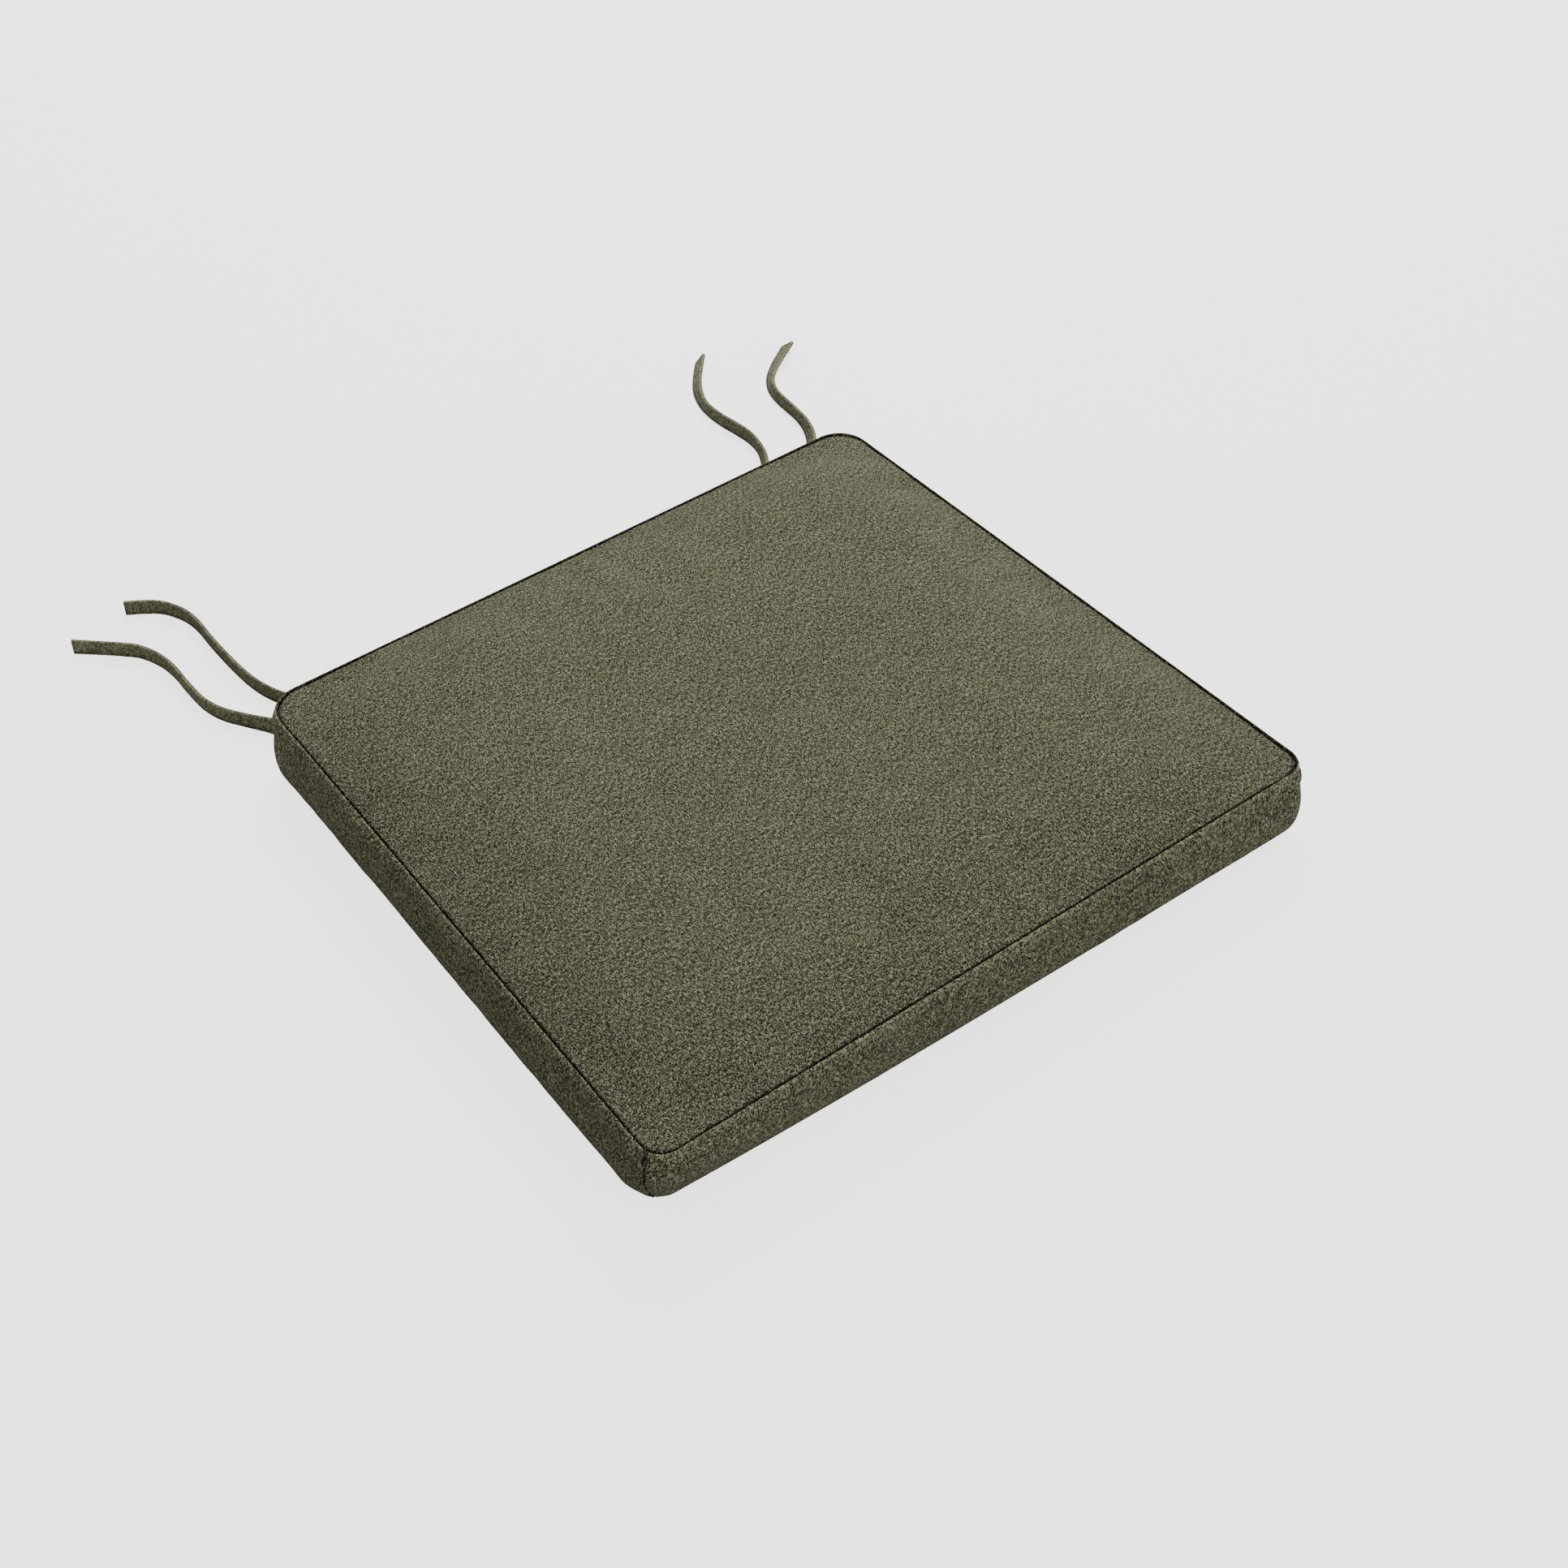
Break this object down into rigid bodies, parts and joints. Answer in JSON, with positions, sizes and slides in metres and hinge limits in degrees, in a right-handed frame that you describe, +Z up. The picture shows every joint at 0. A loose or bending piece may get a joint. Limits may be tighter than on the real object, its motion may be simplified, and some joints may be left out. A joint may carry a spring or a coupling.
{
  "type": "chair seat pad",
  "caption": "Boxed chair seat pad with a foam filling, a zipped fabric cover that narrows towards the back, and fabric ties at the back corners.",
  "frame": {"origin": "middle of the pad's box on the surface it rests on, measured without the ties", "axes": "+X to the sitter's left-to-right along the front edge as seen from the front, +Y from the front edge to the back edge, +Z up"},
  "size_m": [0.5781, 0.6179, 0.0762],
  "materials": {
    "pad_fabric": "matt, coarse plain-woven olive green cloth",
    "under_fabric": "matt woven olive green cloth",
    "sewing_thread": "twisted polyester thread",
    "foam": "open-cell foam",
    "polyester_fibre": "lofty white fibre",
    "zip_tape": "herringbone woven tape",
    "zip_coil": "nylon coil",
    "zip_metal": "antique zinc alloy, satin"
  },
  "bodies": {
    "cushion": {"top_panel": "pad_fabric", "front_boxing": "pad_fabric", "left_boxing": "pad_fabric", "right_boxing": "pad_fabric", "rear_placket_upper": "pad_fabric", "rear_placket_lower": "pad_fabric", "bottom_panel": "under_fabric", "top_seam_thread": "sewing_thread", "bottom_seam_thread": "sewing_thread", "foam_core": "foam", "fibre_layer_top": "polyester_fibre", "fibre_layer_bottom": "polyester_fibre", "zipper_tape_upper": "zip_tape", "zipper_tape_lower": "zip_tape", "zipper_coil_upper": "zip_coil", "zipper_coil_lower": "zip_coil", "zipper_top_stop_upper": "zip_metal", "zipper_top_stop_lower": "zip_metal", "zipper_bottom_stop": "zip_metal", "tie_left_outer": "pad_fabric", "tie_left_inner": "pad_fabric", "tie_right_inner": "pad_fabric", "tie_right_outer": "pad_fabric"},
    "zipper_slider": {"zipper_slider": "zip_metal"},
    "zipper_pull": {"zipper_pull": "zip_metal"}
  },
  "joints": [
    {"name": "zipper_slide", "type": "slide", "parent": "cushion", "child": "zipper_slider", "axis": [1, 0, 0], "range_m": [-0.296, 0]},
    {"name": "pull_swing", "type": "hinge", "parent": "zipper_slider", "child": "zipper_pull", "pos_m": [0.148, 0.2137, 0.0335], "axis": [0, 0, -1], "range_deg": [0, 150]}
  ]
}
